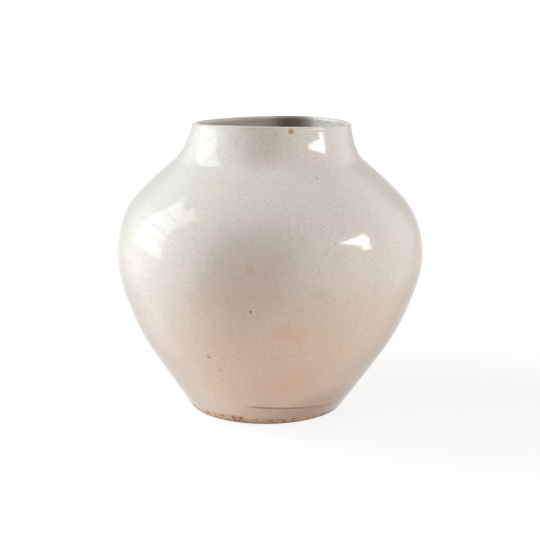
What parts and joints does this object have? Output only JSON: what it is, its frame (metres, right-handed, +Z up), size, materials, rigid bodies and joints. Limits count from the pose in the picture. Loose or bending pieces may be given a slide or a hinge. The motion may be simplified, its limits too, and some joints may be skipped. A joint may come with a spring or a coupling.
{
  "type": "moon jar",
  "caption": "Big round white storage jar with a wide open mouth, a short flared collar with a rounded lip and a narrow turned foot ring.",
  "frame": {"origin": "centre of the foot of the bounding box, on the surface that the jar stands on, under the middle of the belly", "axes": "+Z up along the jar, -Y towards the pictured front, +X to the right seen from the front"},
  "size_m": [0.3, 0.3, 0.2798],
  "materials": {
    "white_glaze": "glossy clear glaze over white clay",
    "bare_clay": "matte, fired without glaze"
  },
  "bodies": {
    "root": {"foot_ring": "bare_clay", "foot_slip": "bare_clay", "lower_bowl": "white_glaze", "belly_slip": "white_glaze", "upper_bowl": "white_glaze", "neck_slip": "white_glaze", "neck_collar": "white_glaze"}
  },
  "joints": []
}
